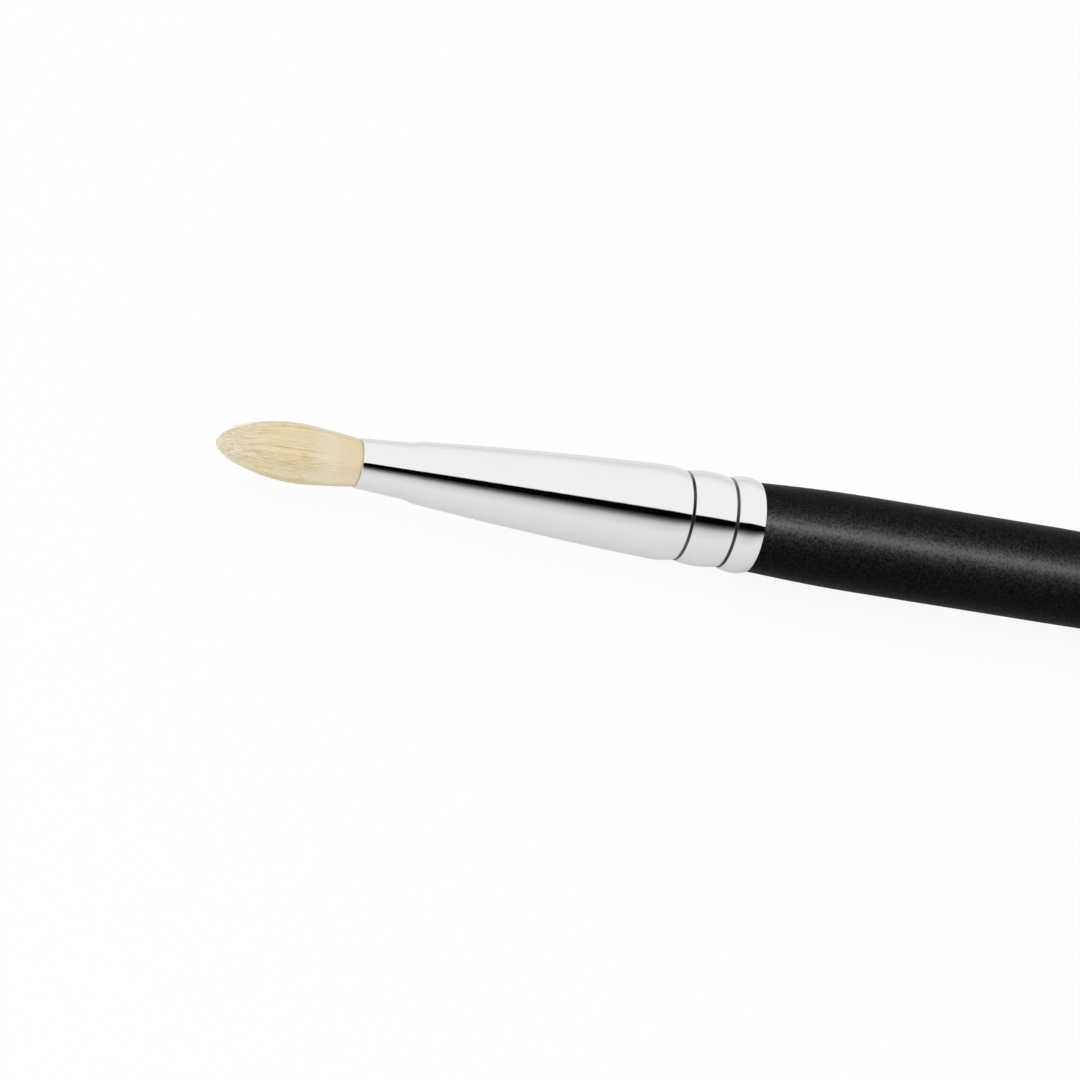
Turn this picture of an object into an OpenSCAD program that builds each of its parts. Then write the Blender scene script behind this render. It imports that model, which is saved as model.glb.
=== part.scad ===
// Eyeshadow brush with a turned handle, a crimped ferrule and a domed tuft of hair.
// The brush lies on its side: the hair points to -X and the handle's tail to +X.
// Profiles are drawn as [radius, place], where place is the distance along the
// brush's axis, from the ferrule's rear edge (0) towards the tip of the hair.

/* [Handle] */
// Length of the handle that shows behind the ferrule
handle_out = 124; // [90:1:150]
// Diameter of the handle's belly, and of its round grip land
belly_d = 8.3; // [8:0.1:10]
// Length over which the handle swells from the ferrule to its belly
swell_len = 10; // [5:0.5:15]
// Length of the straight, truly round stretch of the belly
grip_len = 18; // [10:1:25]
// Diameter of the handle where its rounded tail begins
tail_d = 4.4; // [3:0.1:6]
// Length of the rounded tail
tail_round = 3; // [1.5:0.5:5]
// Chamfer on the end of the tenon
tenon_chamfer = 0.6; // [0.3:0.1:1]

/* [Ferrule] */
// Length of the ferrule from its rear edge to its mouth
ferrule_len = 35.5; // [32:0.5:42]
// Thickness of the ferrule's metal
ferrule_wall = 0.25; // [0.2:0.05:0.4]
// Diameter of the tube that the ferrule is drawn from, ahead of the crimps and between them
body_d = 8.12; // [8:0.01:8.6]
// How far the rear edge is turned in from the tube
rear_turn = 0.11; // [0.1:0.005:0.25]
// How far the crest of the end ring stands out past the tube
ring_flare = 0.075; // [0:0.005:0.2]
// Length of the end ring, behind the rear crimp
ring_len = 2.55; // [2:0.05:3.5]
// How deep both crimps are rolled into the tube
crimp_depth = 0.24; // [0.1:0.005:0.3]
// Length of the band between the crimps
band_len = 3.95; // [3:0.05:6]
// Length of the rise from the front crimp to the body
rise_len = 1.9; // [1:0.1:3]
// How far the long cone swells past a straight line
cone_swell = 0.14; // [0:0.02:0.3]
// Diameter where the cone meets the small step
step_d = 5.36; // [5.2:0.02:6]
// Length of the step
step_len = 1.4; // [0.8:0.1:2]
// Diameter of the neck at the foot of the step
neck_d = 4.84; // [4.6:0.02:5.2]
// Length of the neck, from the step to the mouth
neck_len = 4.4; // [3:0.1:6]
// Outer diameter of the mouth
mouth_d = 4.25; // [4.1:0.05:4.6]

/* [Hair] */
// Length of hair that shows ahead of the ferrule
hair_out = 12.5; // [9:0.5:16]
// Diameter of the tuft where it is widest
hair_d = 5.4; // [4.8:0.02:6.5]
// Distance from the mouth to the widest place
hair_belly = 5.6; // [4:0.1:7]
// Rows of root points from the middle of the bundle to its rim
hair_rows = 18; // [18:1:20]
// Most that a strand falls short of the dome
uneven_len = 0.5; // [0:0.1:1]
// Length of packed hair inside the ferrule
root_len = 11.8; // [10:0.2:13]
// Thickness of the slice that the strands grow from
slice_len = 1.2; // [0.8:0.1:2]
// How deep the binding draws the root in
tie_squeeze = 0.22; // [0.1:0.02:0.4]
// Length of the butt behind the binding
butt_len = 1.8; // [1.2:0.1:2.5]
// How far the butt stands out past the packed hair
butt_flare = 0.1; // [0:0.02:0.2]

/* [Binding and resin] */
// Diameter of the binding thread
thread_d = 0.32; // [0.2:0.02:0.4]
// Turns of thread round the root
thread_turns = 3; // [2:0.5:4]
// Open space between one turn of thread and the next
thread_space = 0.43; // [0.42:0.01:0.6]
// Length of resin behind the butt of the hair
resin_len = 3; // [2:0.1:4]
// How far the resin climbs round the butt
resin_climb = 1.3; // [0.8:0.1:1.5]
// How much higher the resin clings to the ferrule than to the hair
resin_cling = 0.3; // [0:0.05:0.5]
// Air left between the resin and the tenon
air_gap = 4; // [2:0.1:6]

/* [Fits] */
// Room for glue between the tenon and the ferrule, all round
glue_room = 0.12; // [0.08:0.01:0.2]
// Length at each end of the tenon that the glue doesn't reach
glue_short = 1; // [0.5:0.1:2]
// Clearance between pieces that are bonded or butted together
bond_gap = 0.01; // [0.005:0.005:0.03]
// Clearance between the packed hair and the mouth
mouth_clear = 0.02; // [0.01:0.01:0.05]

/* [Hidden] */
$fn = 96;

// Diameters behind the body
rear_d = body_d - 2 * rear_turn;
ring_d = body_d + 2 * ring_flare;
groove_d = body_d - 2 * crimp_depth;

// Places along the axis
front_crimp = ring_len + band_len;
body_start = front_crimp + rise_len;
step_start = ferrule_len - neck_len - step_len;
neck_start = ferrule_len - neck_len;
butt_end = ferrule_len - root_len;
resin_start = butt_end - resin_len;
tenon_len = resin_start - air_gap;
tail_start = tail_round - handle_out;
grip_end = -swell_len - grip_len;

// The brush rests on its fattest ring, and stands halfway along over the origin
rest_r = max(ring_d, belly_d, hair_d) / 2;
middle = (ferrule_len + hair_out - handle_out) / 2;

// How fast the handle thins: 1 is a plain cone, more keeps it full for longer
taper_bend = 1.35;

// Points along a shallow crown from p to q, whose middle stands out by rise
function crown(p, q, rise, steps) =
    [for (i = [1:steps])
        let (t = i / steps)
        p + (q - p) * t + [4 * rise * t * (1 - t), 0]];

// Points of a round ferrule edge of radius r about a centre, from one angle to another
function edge(centre, r, from, to, steps = 6) =
    [for (i = [1:steps - 1])
        let (a = from + (to - from) * i / steps)
        centre + r * [cos(a), sin(a)]];

function reversed(list) = [for (i = [len(list) - 1:-1:0]) list[i]];
function inset(line, depth) = [for (p = line) p - [depth, 0]];

// The outer line of the ferrule, from its rear edge to its mouth
lip_r = ferrule_wall / 2;
rear_point = [rear_d / 2, lip_r];
rear_crimp_point = [groove_d / 2, ring_len];
front_crimp_point = [groove_d / 2, front_crimp];
body_point = [body_d / 2, body_start];
step_point = [step_d / 2, step_start];
neck_point = [neck_d / 2, neck_start];
mouth_point = [mouth_d / 2, ferrule_len - lip_r];

ring_rise = ring_d / 2 - (rear_d + groove_d) / 4;
rise_steps = 6;
step_steps = 6;

ferrule_line = concat(
    [rear_point],
    crown(rear_point, rear_crimp_point, ring_rise, 10),
    crown(rear_crimp_point, front_crimp_point, crimp_depth, 12),
    [for (i = [1:rise_steps])
        let (t = i / rise_steps)
        [groove_d / 2 + crimp_depth * sin(90 * t), front_crimp + rise_len * t]],
    crown(body_point, step_point, cone_swell, 14),
    [for (i = [1:step_steps])
        let (t = i / step_steps)
        [step_d / 2 - (step_d - neck_d) / 4 * (1 - cos(180 * t)), step_start + step_len * t]],
    [mouth_point]
);

// Outer radius of the ferrule at a place along the axis
ferrule_table = [for (p = ferrule_line) [p[1], p[0]]];
function ferrule_r(place) = lookup(place, ferrule_table);

// The ferrule's line moved inwards by depth, cut off at two places
function bore_line(depth, from, to) = concat(
    [[ferrule_r(from) - depth, from]],
    [for (p = ferrule_line) if (p[1] > from && p[1] < to) p - [depth, 0]],
    [[ferrule_r(to) - depth, to]]
);

// The outer line of the handle, from its tail to the ferrule
exit_r = rear_d / 2 - lip_r;
tail_steps = 8;
taper_steps = 16;
swell_steps = 8;
handle_line = concat(
    [for (i = [0:tail_steps - 1])
        let (a = 90 * (1 - i / tail_steps))
        [tail_d / 2 * cos(a), tail_start - tail_round * sin(a)]],
    [for (i = [0:taper_steps - 1])
        let (t = 1 - i / taper_steps)
        [belly_d / 2 - (belly_d - tail_d) / 2 * pow(t, taper_bend),
            grip_end + (tail_start - grip_end) * t]],
    [[belly_d / 2, grip_end]],
    [for (i = [0:swell_steps])
        let (t = 1 - i / swell_steps)
        [exit_r + (belly_d / 2 - exit_r) * sin(90 * t), -bond_gap - (swell_len - bond_gap) * t]]
);

// Sizes of the packed hair, which fills the mouth from inside
slice_r = mouth_d / 2 - ferrule_wall - mouth_clear;
root_r = slice_r - mouth_clear;
waist_r = root_r - tie_squeeze;
butt_r = root_r + butt_flare;
thread_pitch = thread_d + thread_space;
tie_start = butt_end + butt_len + tie_squeeze + butt_flare;
tie_end = tie_start + thread_turns * thread_pitch + 2 * thread_d;

// Heights of the three levels that a strand bends at, and its thickness there
level_share = [0.11, 0.44, 0.78];
level_fat_share = [1.5, 1.5, 1.2];
// How far the strands would draw together at the very tip, and how far a tip strays
tip_gather_share = 0.62;
stray_share = 0.3;
// Bends of the curves that the strands spread and gather by, and of the dome
swell_bend = 0.7;
gather_bend = 1.7;
gather_power = 0.275;
dome_bend = 3.5;
dome_power = 0.6;
// Seed of the chance in the strands' ends
hair_seed = 11;

// Lays a piece drawn upright along its axis down onto the ground
module lay() {
    translate([middle, 0, rest_r]) rotate([0, -90, 0]) children();
}

module spin(line) {
    rotate_extrude() polygon(line);
}

module handle() {
    tenon_r_start = rear_d / 2 - ferrule_wall - glue_room;
    tenon_line = bore_line(ferrule_wall + glue_room, lip_r, tenon_len - tenon_chamfer);
    tenon_end_r = tenon_line[len(tenon_line) - 1][0] - tenon_chamfer;
    color([0.07, 0.07, 0.08])
        lay() spin(concat(
            handle_line,
            [[tenon_r_start, -bond_gap]],
            tenon_line,
            [[tenon_end_r, tenon_len], [0, tenon_len]]
        ));
}

module ferrule() {
    color([0.82, 0.83, 0.85])
        lay() spin(concat(
            ferrule_line,
            edge([mouth_d / 2 - lip_r, ferrule_len - lip_r], lip_r, 0, 180),
            reversed(inset(ferrule_line, ferrule_wall)),
            edge([rear_d / 2 - lip_r, lip_r], lip_r, 180, 360)
        ));
}

// The roots of the strands lie on a lattice of triangles, rows deep, that is
// rounded from a hexagon to a disc. Points have two whole numbers, i and j.
function ring_of(i, j) = max(abs(i), abs(j), abs(i + j));
function row_from(i) = max(-hair_rows, -hair_rows - i);
function row_to(i) = min(hair_rows, hair_rows - i);
row_first = [for (i = -hair_rows, first = 0; i <= hair_rows;
    first = first + row_to(i) - row_from(i) + 1, i = i + 1) first];
function point_at(i, j) = row_first[i + hair_rows] + j - row_from(i);

// A lattice point's place in a disc of radius 1
function disc_spot(i, j) =
    let (
        ring = ring_of(i, j),
        raw = [i + j / 2, j * sin(60)],
        sector = floor(atan2(raw[1], raw[0]) / 60),
        turned = raw[1] * cos(60 * sector) - raw[0] * sin(60 * sector),
        along = ring == 0 ? 0 : turned / (ring * sin(60)),
        a = 60 * (sector + along)
    )
    ring / hair_rows * [cos(a), sin(a)];

// Every third upright triangle is the root of a strand, so that no two share a corner
function is_root(i, j) = (i + 2 * j + 3 * hair_rows) % 3 == 0;
uprights = [for (i = [-hair_rows:hair_rows]) for (j = [row_from(i):row_to(i)])
    if (ring_of(i + 1, j) <= hair_rows && ring_of(i, j + 1) <= hair_rows) [i, j]];
roots = [for (c = uprights) if (is_root(c[0], c[1])) c];
gap_uprights = [for (c = uprights) if (!is_root(c[0], c[1])) c];
inverts = [for (i = [-hair_rows:hair_rows]) for (j = [row_from(i):row_to(i)])
    if (ring_of(i - 1, j) <= hair_rows && ring_of(i, j - 1) <= hair_rows) [i, j]];

// All strands spread and gather together by one factor at each height, so none cross
spread_most = hair_d / 2 / slice_r;
function spread(height) =
    height < hair_belly
    ? 1 + (spread_most - 1) * sin(90 * pow(height / hair_belly, swell_bend))
    : spread_most * pow(
        1 - pow((height - hair_belly) / (hair_out - hair_belly), gather_bend),
        gather_power);
level_heights = [for (s = level_share) s * hair_out];
spread_table = concat(
    [[0, 1]],
    [for (h = level_heights) [h, spread(h)]],
    [[hair_out, spread_most * tip_gather_share]]
);

// The end of each strand lies on a dome, a little short of it by chance
luck = rands(0, 1, 3 * len(roots), hair_seed);
function dome(share) =
    hair_belly + (hair_out - hair_belly) * pow(1 - pow(share, dome_bend), dome_power);
function corners(c) =
    [disc_spot(c[0], c[1]), disc_spot(c[0] + 1, c[1]), disc_spot(c[0], c[1] + 1)];
function centre(three) = (three[0] + three[1] + three[2]) / 3;
function strand_end(n) =
    roots[n] == [0, 0]
    ? hair_out
    : dome(norm(centre(corners(roots[n])))) - uneven_len * luck[n];

// The points of one strand: three at each level that it passes, and its tip
function strand_points(n) =
    let (
        three = corners(roots[n]),
        mid = centre(three),
        end = strand_end(n),
        stray = stray_share / hair_rows
            * [luck[n + len(roots)] - 0.5, luck[n + 2 * len(roots)] - 0.5],
        tip = (mid + stray) * slice_r * lookup(end, spread_table)
    )
    concat(
        [for (l = [0:len(level_heights) - 1])
            if (level_heights[l] < end - uneven_len)
                for (c = three)
                    let (p = (mid + (c - mid) * level_fat_share[l])
                        * slice_r * lookup(level_heights[l], spread_table))
                    [p[0], p[1], level_heights[l]]],
        [[tip[0], tip[1], end]]
    );

// The strands and the slice of packed hair that they grow from, as one closed skin
module strands() {
    rim_count = 6 * hair_rows;
    towards = [[1, 0], [0, 1], [-1, 1], [-1, 0], [0, -1], [1, -1]];
    rim = [for (s = [0:5]) for (t = [0:hair_rows - 1])
        towards[s] * (hair_rows - t) + towards[(s + 1) % 6] * t];
    face_points = [for (i = [-hair_rows:hair_rows]) for (j = [row_from(i):row_to(i)])
        let (p = slice_r * disc_spot(i, j))
        [p[0], p[1], 0]];
    back_points = [for (c = rim)
        let (p = slice_r * disc_spot(c[0], c[1]))
        [p[0], p[1], -slice_len]];
    grown = [for (n = [0:len(roots) - 1]) strand_points(n)];
    back_first = len(face_points);
    strands_first = back_first + rim_count;
    grown_first = [for (n = 0, first = strands_first; n < len(roots);
        first = first + len(grown[n]), n = n + 1) first];

    face_gaps = concat(
        [for (c = gap_uprights)
            [point_at(c[0], c[1] + 1), point_at(c[0] + 1, c[1]), point_at(c[0], c[1])]],
        [for (c = inverts)
            [point_at(c[0], c[1] - 1), point_at(c[0] - 1, c[1]), point_at(c[0], c[1])]]
    );
    sides = [for (q = [0:rim_count - 1])
        let (
            r = (q + 1) % rim_count,
            a = point_at(rim[q][0], rim[q][1]),
            b = point_at(rim[r][0], rim[r][1])
        )
        each [[a, b, back_first + q], [b, back_first + r, back_first + q]]];
    back = [for (q = [1:rim_count - 2]) [back_first, back_first + q, back_first + q + 1]];
    strand_sides = [for (n = [0:len(roots) - 1])
        let (
            i = roots[n][0],
            j = roots[n][1],
            levels = (len(grown[n]) - 1) / 3,
            base = [point_at(i, j), point_at(i + 1, j), point_at(i, j + 1)],
            loops = concat(
                [base],
                [for (l = [0:levels - 1]) [for (s = [0:2]) grown_first[n] + 3 * l + s]]
            ),
            tip = grown_first[n] + 3 * levels
        )
        each concat(
            [for (l = [0:levels - 1]) for (s = [0:2])
                each [
                    [loops[l][s], loops[l + 1][s], loops[l][(s + 1) % 3]],
                    [loops[l + 1][s], loops[l + 1][(s + 1) % 3], loops[l][(s + 1) % 3]]
                ]],
            [for (s = [0:2]) [loops[levels][s], tip, loops[levels][(s + 1) % 3]]]
        )];

    polyhedron(
        points = concat(face_points, back_points, [for (g = grown) each g]),
        faces = concat(face_gaps, sides, back, strand_sides)
    );
}

module hair_tuft() {
    color([0.92, 0.85, 0.69])
        lay() union() {
            translate([0, 0, ferrule_len]) strands();
            spin([
                [0, butt_end],
                [butt_r - butt_flare, butt_end],
                [butt_r, butt_end + butt_flare],
                [butt_r, butt_end + butt_len],
                [waist_r, tie_start],
                [waist_r, tie_end],
                [root_r, tie_end + tie_squeeze],
                [root_r, ferrule_len - slice_len / 2],
                [0, ferrule_len - slice_len / 2]
            ]);
        }
}

// The thread is one unbroken tube, wound round the waist of the packed hair
loop_rings = 24;
thread_sides = 6;
wind_r = (waist_r + thread_d / 2 + bond_gap) / cos(180 / loop_rings);
wind_count = thread_turns * loop_rings;
wind_low = tie_start + thread_d;
function wind_point(n) =
    let (a = 360 * n / loop_rings)
    [wind_r * cos(a), wind_r * sin(a), wind_low + thread_pitch * n / loop_rings];

// The least open space from one turn to any other, measured on the thread's middle line
thread_least = min([for (n = [0:wind_count - loop_rings / 2])
    for (m = [n + loop_rings / 2:wind_count])
        norm(wind_point(m) - wind_point(n))]) - thread_d;
echo(thread_least_gap = thread_least);

module binding_thread() {
    lean = atan2(thread_pitch, 2 * PI * wind_r);
    skin = [for (n = [0:wind_count])
        let (a = 360 * n / loop_rings, out = [cos(a), sin(a), 0],
            up = [sin(a) * sin(lean), -cos(a) * sin(lean), cos(lean)])
        for (s = [0:thread_sides - 1])
            let (b = 360 * s / thread_sides)
            wind_point(n) + thread_d / 2 * (cos(b) * out + sin(b) * up)];
    tube = [for (n = [0:wind_count - 1]) for (s = [0:thread_sides - 1])
        let (a = n * thread_sides + s, b = n * thread_sides + (s + 1) % thread_sides)
        each [[a, b, a + thread_sides], [b, b + thread_sides, a + thread_sides]]];
    start = [for (s = [thread_sides - 1:-1:0]) s];
    end = [for (s = [0:thread_sides - 1]) wind_count * thread_sides + s];
    color([0.88, 0.86, 0.8])
        lay() polyhedron(skin, concat([start], tube, [end]));
}

module resin_plug() {
    climb_end = butt_end + resin_climb;
    cling_end = climb_end + resin_cling;
    cup_r = butt_r + bond_gap;
    color([0.75, 0.55, 0.25])
        lay() spin(concat(
            [[0, resin_start]],
            bore_line(ferrule_wall + bond_gap, resin_start, cling_end),
            [
                [cup_r, climb_end],
                [cup_r, butt_end - bond_gap],
                [0, butt_end - bond_gap]
            ]
        ));
}

module tenon_glue() {
    from = glue_short;
    to = tenon_len - glue_short;
    color([0.85, 0.82, 0.7])
        lay() spin(concat(
            bore_line(ferrule_wall + bond_gap, from, to),
            reversed(bore_line(ferrule_wall + glue_room - bond_gap, from, to))
        ));
}

handle();
ferrule();
hair_tuft();
binding_thread();
resin_plug();
tenon_glue();
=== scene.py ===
# %% [markdown]
# # An eyeshadow brush
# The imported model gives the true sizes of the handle, the ferrule and what is
# hidden inside them. This lesson keeps those hard pieces and gives each its real
# finish. It grows the soft tuft again with thousands of fine hairs, and winds the
# hidden thread again from two plies.

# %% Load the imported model
import bpy
import math
import random
from mathutils import Matrix, Vector


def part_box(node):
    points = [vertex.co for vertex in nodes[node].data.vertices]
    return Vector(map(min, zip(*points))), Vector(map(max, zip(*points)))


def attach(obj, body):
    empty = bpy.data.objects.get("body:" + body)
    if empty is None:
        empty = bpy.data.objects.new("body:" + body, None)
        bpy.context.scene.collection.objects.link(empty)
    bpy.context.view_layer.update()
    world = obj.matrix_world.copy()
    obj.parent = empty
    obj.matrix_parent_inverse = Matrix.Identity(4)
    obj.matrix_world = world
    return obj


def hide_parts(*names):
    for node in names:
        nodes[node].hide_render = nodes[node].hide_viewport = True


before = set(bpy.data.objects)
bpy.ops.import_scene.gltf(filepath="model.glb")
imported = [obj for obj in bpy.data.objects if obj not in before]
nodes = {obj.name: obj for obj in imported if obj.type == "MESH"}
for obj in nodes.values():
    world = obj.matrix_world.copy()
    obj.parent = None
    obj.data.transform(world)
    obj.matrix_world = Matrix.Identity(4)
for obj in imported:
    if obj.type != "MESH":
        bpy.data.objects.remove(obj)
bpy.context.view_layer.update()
scene = bpy.context.scene
MM = 0.001
print("nodes", ", ".join(sorted(nodes)))

# %% [markdown]
# ## Where things are
# The brush lies along X with its hair at the low end. Every place is read from
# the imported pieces' boxes, so that the soft tuft starts exactly at the mouth of
# the ferrule. Sizes that a box can't tell are named later, where they are used.

# %% Places along the brush
handle_low, handle_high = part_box("handle")
ferrule_low, ferrule_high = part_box("ferrule")
tuft_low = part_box("hair_tuft")[0]
axis_z = (handle_low[2] + handle_high[2]) / 2
mouth_x = ferrule_low[0]
rear_x = ferrule_high[0]
hair_out = mouth_x - tuft_low[0]
print("mouth at", round(mouth_x / MM, 2), "mm, hair out", round(hair_out / MM, 2), "mm")

# %% [markdown]
# ## Helpers
# Web colours are written for a screen, and Blender's sockets want linear light,
# so one function turns the first into the second. A node tree could be drawn by
# hand, but a script can be read and run again, and one function that adds a node
# with its settings and its inputs keeps each tree to a few lines. The kinds of
# node that come up most have short names.

# %% Colour and node helpers
MATH, VECTOR_MATH = "ShaderNodeMath", "ShaderNodeVectorMath"
MIX, RANGE, NOISE = "ShaderNodeMixRGB", "ShaderNodeMapRange", "ShaderNodeTexNoise"


def linear(code):
    """A hex colour as four linear numbers, by the formula of the sRGB standard."""
    parts = [int(code[i:i + 2], 16) / 255 for i in (1, 3, 5)]
    return [p / 12.92 if p <= 0.04045 else ((p + 0.055) / 1.055) ** 2.4 for p in parts] + [1.0]


def add(tree, kind, inputs=None, **settings):
    """Adds a node. Inputs are a list in order or keyed by name, of values, sockets or nodes."""
    node = tree.nodes.new(kind)
    for name, value in settings.items():
        setattr(node, name, value)
    if isinstance(inputs, list):
        inputs = dict(enumerate(inputs))
    for key, value in (inputs or {}).items():
        if isinstance(key, int):
            socket = node.inputs[key]
        else:
            socket = next(s for s in node.inputs if key in (s.name, s.identifier) and s.enabled)
        if isinstance(value, bpy.types.Node):
            value = next(s for s in value.outputs if s.enabled)
        if isinstance(value, bpy.types.NodeSocket):
            tree.links.new(value, socket)
        else:
            socket.default_value = value
    return node


def finish_named(name):
    """A new material and its tree, emptied."""
    material = bpy.data.materials.new(name)
    material.use_nodes = True
    material.node_tree.nodes.clear()
    return material, material.node_tree


print("a middle grey is", round(linear("#808080")[0], 3), "in linear light")

# %% [markdown]
# ## The camera
# The photograph shows the brush without visible narrowing, so the lens is long.
# The brush leans out of the picture with its tip nearest, and slopes down to the
# right. The camera could be turned by eye, but its place follows from the lean,
# the height and the slope, and from the pixel where the ferrule ends.

# %% The camera
PHOTO = 1080
LENS = 350.0
SENSOR = 36.0
LEAN = math.radians(18)
HEIGHT = math.radians(45)
SLOPE = math.radians(-9.12)
PIXELS_PER_METRE = 11770
REAR_PIXEL = (750.8, 526.7)

around = -math.asin(math.sin(LEAN) / math.cos(HEIGHT))
back = Vector((math.sin(around) * math.cos(HEIGHT), -math.cos(around) * math.cos(HEIGHT), math.sin(HEIGHT)))
level_right = Vector((math.cos(around), math.sin(around), 0))
level_up = back.cross(level_right)
roll = math.atan2(level_up.x, level_right.x) - SLOPE
right = level_right * math.cos(roll) + level_up * math.sin(roll)
up = back.cross(right)
lens_pixels = LENS / SENSOR * PHOTO
distance = lens_pixels / PIXELS_PER_METRE
aside = (REAR_PIXEL[0] - PHOTO / 2) / lens_pixels * distance
above = (PHOTO / 2 - REAR_PIXEL[1]) / lens_pixels * distance
rear_point = Vector((rear_x, 0, axis_z))

camera = bpy.data.objects.new("camera", bpy.data.cameras.new("camera"))
scene.collection.objects.link(camera)
camera.data.lens = LENS
camera.data.sensor_width = SENSOR
camera.data.clip_start = 0.01
camera.data.clip_end = 100
turned_to = Matrix((right, up, back)).transposed().to_4x4()
stand = rear_point + back * distance - right * aside - up * above
camera.matrix_world = Matrix.Translation(stand) @ turned_to
scene.camera = camera
print("camera", round(distance, 3), "m away, rolled", round(math.degrees(roll), 1), "degrees")

# %% [markdown]
# ## The studio
# Polished metal shows the room, not itself. In the photograph the ferrule shows
# a bright ceiling, a thin black line where the dark side of the room behind the
# camera is mirrored, and a pale table below. Cards and lamps could be stood
# round the brush, but they would hide it from other sides. Here the world itself
# is painted by the angle round the brush, for mirrored rays only. The camera
# sees plain white, and soft light falls evenly on everything else.

# %% The world
camera_angle = math.degrees(math.atan2(back.z, -back.y))
# Degrees above the camera, as the brush sees it, and the brightness of the room there
ROOM = [(-48, 0.84), (-35, 0.72), (-30, 0.65), (-25, 0.51), (-20, 0.29), (-16, 0.13), (-11.5, 0.04),
        (-7.8, 0.0), (6.2, 0.0), (8.0, 0.95), (11, 0.99), (92, 0.98), (106, 0.96), (128, 0.80), (134, 0.6)]
SOFT_LIGHT = (0.92, 0.92, 0.92, 1)
WHITE = (1, 1, 1, 1)
lowest, highest = ROOM[0][0], ROOM[-1][0]
world = bpy.data.worlds.new("studio")
scene.world = world
world.use_nodes = True
sky = world.node_tree
sky.nodes.clear()
where = add(sky, "ShaderNodeTexCoord").outputs["Generated"]
toward = add(sky, "ShaderNodeSeparateXYZ", [where]).outputs
front = add(sky, MATH, [toward["Y"], -1.0], operation="MULTIPLY")
angle = add(sky, MATH, [toward["Z"], front], operation="ARCTAN2")
angle = add(sky, MATH, [angle, math.radians(camera_angle)], operation="SUBTRACT")
share = add(sky, RANGE, {0: angle, "From Min": math.radians(lowest), "From Max": math.radians(highest)})
room = add(sky, "ShaderNodeValToRGB", [share])
stops = room.color_ramp.elements
while len(stops) < len(ROOM):
    stops.new(0.5)
for stop, (place, level) in zip(stops, ROOM):
    stop.position = (place - lowest) / (highest - lowest)
    stop.color = (level, level, level, 1)
rays = add(sky, "ShaderNodeLightPath").outputs
mirrored = add(sky, MATH, [rays["Is Glossy Ray"], rays["Is Transmission Ray"]], operation="MAXIMUM")
soft = add(sky, MIX, [mirrored, SOFT_LIGHT, room])
seen = add(sky, MIX, [rays["Is Camera Ray"], soft, WHITE])
paint = add(sky, "ShaderNodeBackground", {"Color": seen, "Strength": 1.0})
add(sky, "ShaderNodeOutputWorld", {"Surface": paint})
print("camera angle round the brush", round(camera_angle, 1), "degrees")

# %% [markdown]
# ## The table
# The table is white laminate. To the camera and in the metal it is mixed with
# plain white light, so that it stays white as in the photograph, but keeps a
# faint shadow where the brush lies on it. A table of plain white paint would turn
# grey in the picture, because no paint sends all its light back.

# %% The table
def new_piece(name, mesh):
    """An object for a mesh, in the scene."""
    piece = bpy.data.objects.new(name, mesh)
    scene.collection.objects.link(piece)
    return piece


TABLE = 3.0
KEPT_WHITE, MIRRORED_WHITE = 0.92, 0.35
corners = [(-TABLE, -TABLE, 0), (TABLE, -TABLE, 0), (TABLE, TABLE, 0), (-TABLE, TABLE, 0)]
table_mesh = bpy.data.meshes.new("table")
table_mesh.from_pydata(corners, [], [(0, 1, 2, 3)])
table = new_piece("table", table_mesh)
table_finish, tree = finish_named("white_laminate_table")
rays = add(tree, "ShaderNodeLightPath").outputs
shown = add(tree, MATH, [rays["Is Glossy Ray"], rays["Is Transmission Ray"]], operation="MAXIMUM")
shown = add(tree, MATH, [shown, MIRRORED_WHITE], operation="MULTIPLY")
shown = add(tree, MIX, [rays["Is Camera Ray"], shown, [KEPT_WHITE] * 4])
pale = add(tree, MIX, [rays["Is Camera Ray"], linear("#ececec"), WHITE])
matt = add(tree, "ShaderNodeBsdfDiffuse", {"Color": pale})
glow = add(tree, "ShaderNodeEmission", {"Color": pale, "Strength": 1.0})
both = add(tree, "ShaderNodeMixShader", [shown, matt, glow])
add(tree, "ShaderNodeOutputMaterial", {"Surface": both})
table_mesh.materials.append(table_finish)
print("table", 2 * TABLE, "m wide")

# %% [markdown]
# ## The lamps
# The world alone would light every side alike. A soft key lamp at the hair's end
# gives the tuft a lit and a shaded side, and stays out of the metal. The broad
# highlight along the lacquer comes from a bright tube a little above the camera.
# Light linking keeps that tube off everything but the handle.

# %% The key lamp and the tube
KEY_PLACE, KEY_TARGET = Vector((-0.61, -0.19, 0.24)), Vector((-0.05, 0, 0))
KEY_SIZE, KEY_RADIANCE = (0.6, 0.3), 1.75
TUBE_SIZE, TUBE_RADIANCE = (1.6, 0.03), 660.0
# Degrees round the brush from the camera, and metres from its axis and along it
TUBE_ABOVE_CAMERA = 18
TUBE_AWAY, TUBE_ALONG = 0.6, -0.2


def area_lamp(name, place, target, size, radiance):
    """A rectangular lamp, its long side along the brush, that the camera doesn't see."""
    lamp = bpy.data.lights.new(name, "AREA")
    lamp.shape = "RECTANGLE"
    lamp.size, lamp.size_y = size
    lamp.energy = radiance * math.pi * size[0] * size[1]
    holder = bpy.data.objects.new(name, lamp)
    scene.collection.objects.link(holder)
    toward = (place - target).normalized()
    side = (Vector((1, 0, 0)) - toward * toward.x).normalized()
    facing = Matrix((side, toward.cross(side), toward)).transposed().to_4x4()
    holder.matrix_world = Matrix.Translation(place) @ facing
    holder.visible_camera = False
    return holder


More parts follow.
